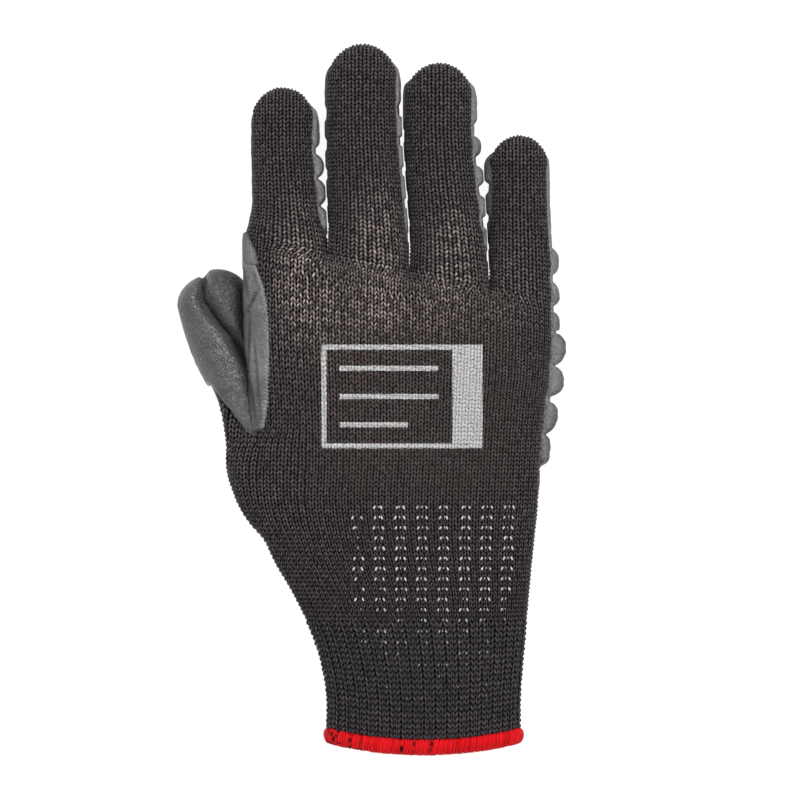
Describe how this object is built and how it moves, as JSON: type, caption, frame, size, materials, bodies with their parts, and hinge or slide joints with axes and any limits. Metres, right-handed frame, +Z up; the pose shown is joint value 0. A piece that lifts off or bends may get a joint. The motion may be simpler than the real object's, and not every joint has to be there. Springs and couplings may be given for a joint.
{
  "type": "anti vibration glove",
  "caption": "Right-hand knitted work glove with a ribbed rubber palm, ribbed finger coats, a rubber-sleeved thumb and an overlocked cuff hem, open inside.",
  "frame": {"origin": "middle of the glove's box, on the surface that it lies on", "axes": "+Z up out of the back of the hand, +Y towards the fingertips, -X towards the thumb"},
  "size_m": [0.135, 0.2484, 0.035],
  "materials": {
    "black_knit": "matte knitted yarn",
    "grey_rubber": "moulded, softly glossy",
    "red_yarn": "matte overlock yarn"
  },
  "bodies": {
    "root": {"knit_heel": "black_knit", "knit_knuckles": "black_knit", "knit_cuff": "black_knit", "cuff_hem": "red_yarn", "knit_index_finger": "black_knit", "knit_middle_finger": "black_knit", "knit_ring_finger": "black_knit", "knit_little_finger": "black_knit", "rubber_palm": "grey_rubber", "rubber_index_finger": "grey_rubber", "rubber_middle_finger": "grey_rubber", "rubber_ring_finger": "grey_rubber", "rubber_little_finger": "grey_rubber", "rubber_thumb": "grey_rubber"}
  },
  "joints": []
}
